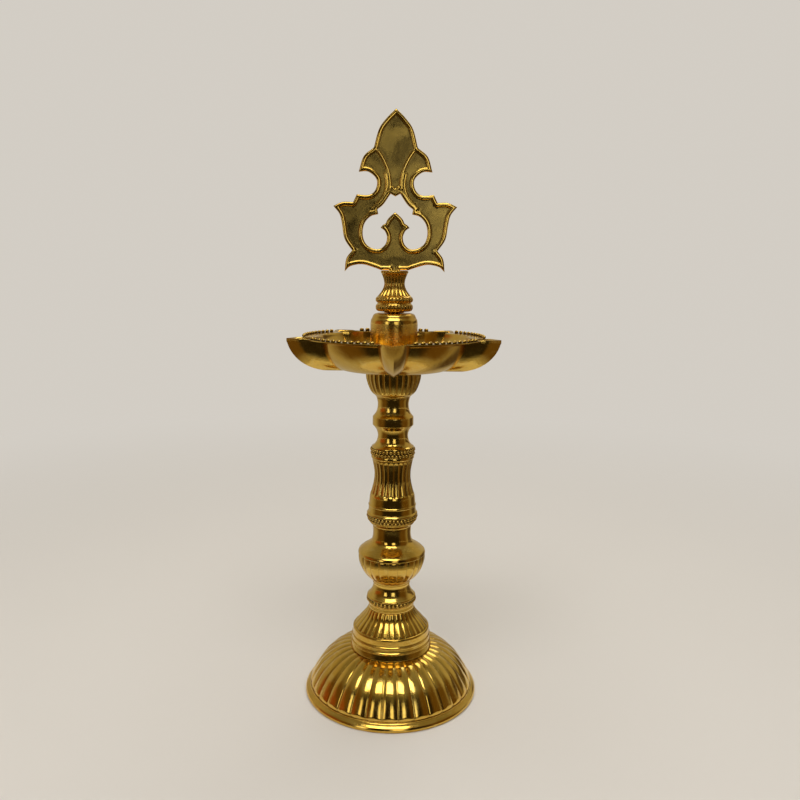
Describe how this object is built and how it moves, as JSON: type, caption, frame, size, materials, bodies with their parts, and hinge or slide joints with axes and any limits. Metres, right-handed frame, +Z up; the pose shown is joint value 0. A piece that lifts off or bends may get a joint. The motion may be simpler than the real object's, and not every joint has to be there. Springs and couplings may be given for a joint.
{
  "type": "brass standing oil lamp",
  "caption": "Standing brass oil lamp with a fluted bell foot, a turned and beaded stem, a shallow dish with pointed wick spouts and a pierced leaf finial; its sections unscrew.",
  "frame": {"origin": "the lamp's axis at the plane that the foot stands on", "axes": "+Z up along the lamp's axis; +X along the finial plate's width; -Y towards the viewer and along one spout of the dish"},
  "size_m": [0.1586, 0.1537, 0.457],
  "materials": {
    "bell_brass": "polished cast brass, fluted, with darker lacquer in the grooves",
    "collar_brass": "polished turned brass with raised rings",
    "stem_brass": "polished turned brass with dark patina in the bead rings",
    "dish_brass": "polished cast brass with fine turning marks",
    "finial_brass": "polished edges with a duller olive-brown field",
    "stud_brass": "dull cut thread",
    "gasket_leather": "dark oiled leather"
  },
  "bodies": {
    "foot": {"base_bell": "bell_brass", "base_collar": "collar_brass"},
    "lower_thread": {"lower_stud": "stud_brass"},
    "lower_section": {"lower_stem": "stem_brass"},
    "middle_thread": {"middle_stud": "stud_brass"},
    "upper_section": {"upper_stem": "stem_brass"},
    "dish_thread": {"dish_stud": "stud_brass"},
    "dish_section": {"dish_cup": "stem_brass", "oil_dish": "dish_brass", "dish_gasket": "gasket_leather", "dish_socket": "dish_brass"},
    "finial_thread": {"finial_stud": "stud_brass"},
    "finial_section": {"finial_stem": "finial_brass", "finial_plate": "finial_brass"}
  },
  "joints": [
    {"name": "lower_rise", "type": "slide", "parent": "foot", "child": "lower_thread", "axis": [0, 0, 1], "range_m": [0, 0.012]},
    {"name": "lower_turn", "type": "hinge", "parent": "lower_thread", "child": "lower_section", "pos_m": [0, 0, 0.07], "axis": [0, 0, 1], "range_deg": [0, 2880]},
    {"name": "middle_rise", "type": "slide", "parent": "lower_section", "child": "middle_thread", "axis": [0, 0, 1], "range_m": [0, 0.012]},
    {"name": "middle_turn", "type": "hinge", "parent": "middle_thread", "child": "upper_section", "pos_m": [0, 0, 0.1388], "axis": [0, 0, 1], "range_deg": [0, 2880]},
    {"name": "dish_rise", "type": "slide", "parent": "upper_section", "child": "dish_thread", "axis": [0, 0, 1], "range_m": [0, 0.012]},
    {"name": "dish_turn", "type": "hinge", "parent": "dish_thread", "child": "dish_section", "pos_m": [0, 0, 0.2423], "axis": [0, 0, 1], "range_deg": [0, 2880]},
    {"name": "finial_rise", "type": "slide", "parent": "dish_section", "child": "finial_thread", "axis": [0, 0, 1], "range_m": [0, 0.012]},
    {"name": "finial_turn", "type": "hinge", "parent": "finial_thread", "child": "finial_section", "pos_m": [0, 0, 0.3076], "axis": [0, 0, 1], "range_deg": [0, 2880]}
  ],
  "couplings": [
    {"joint": "lower_turn", "follows": "lower_rise", "rad_per_m": 4188.8},
    {"joint": "middle_turn", "follows": "middle_rise", "rad_per_m": 4188.8},
    {"joint": "dish_turn", "follows": "dish_rise", "rad_per_m": 4188.8},
    {"joint": "finial_turn", "follows": "finial_rise", "rad_per_m": 4188.8}
  ]
}
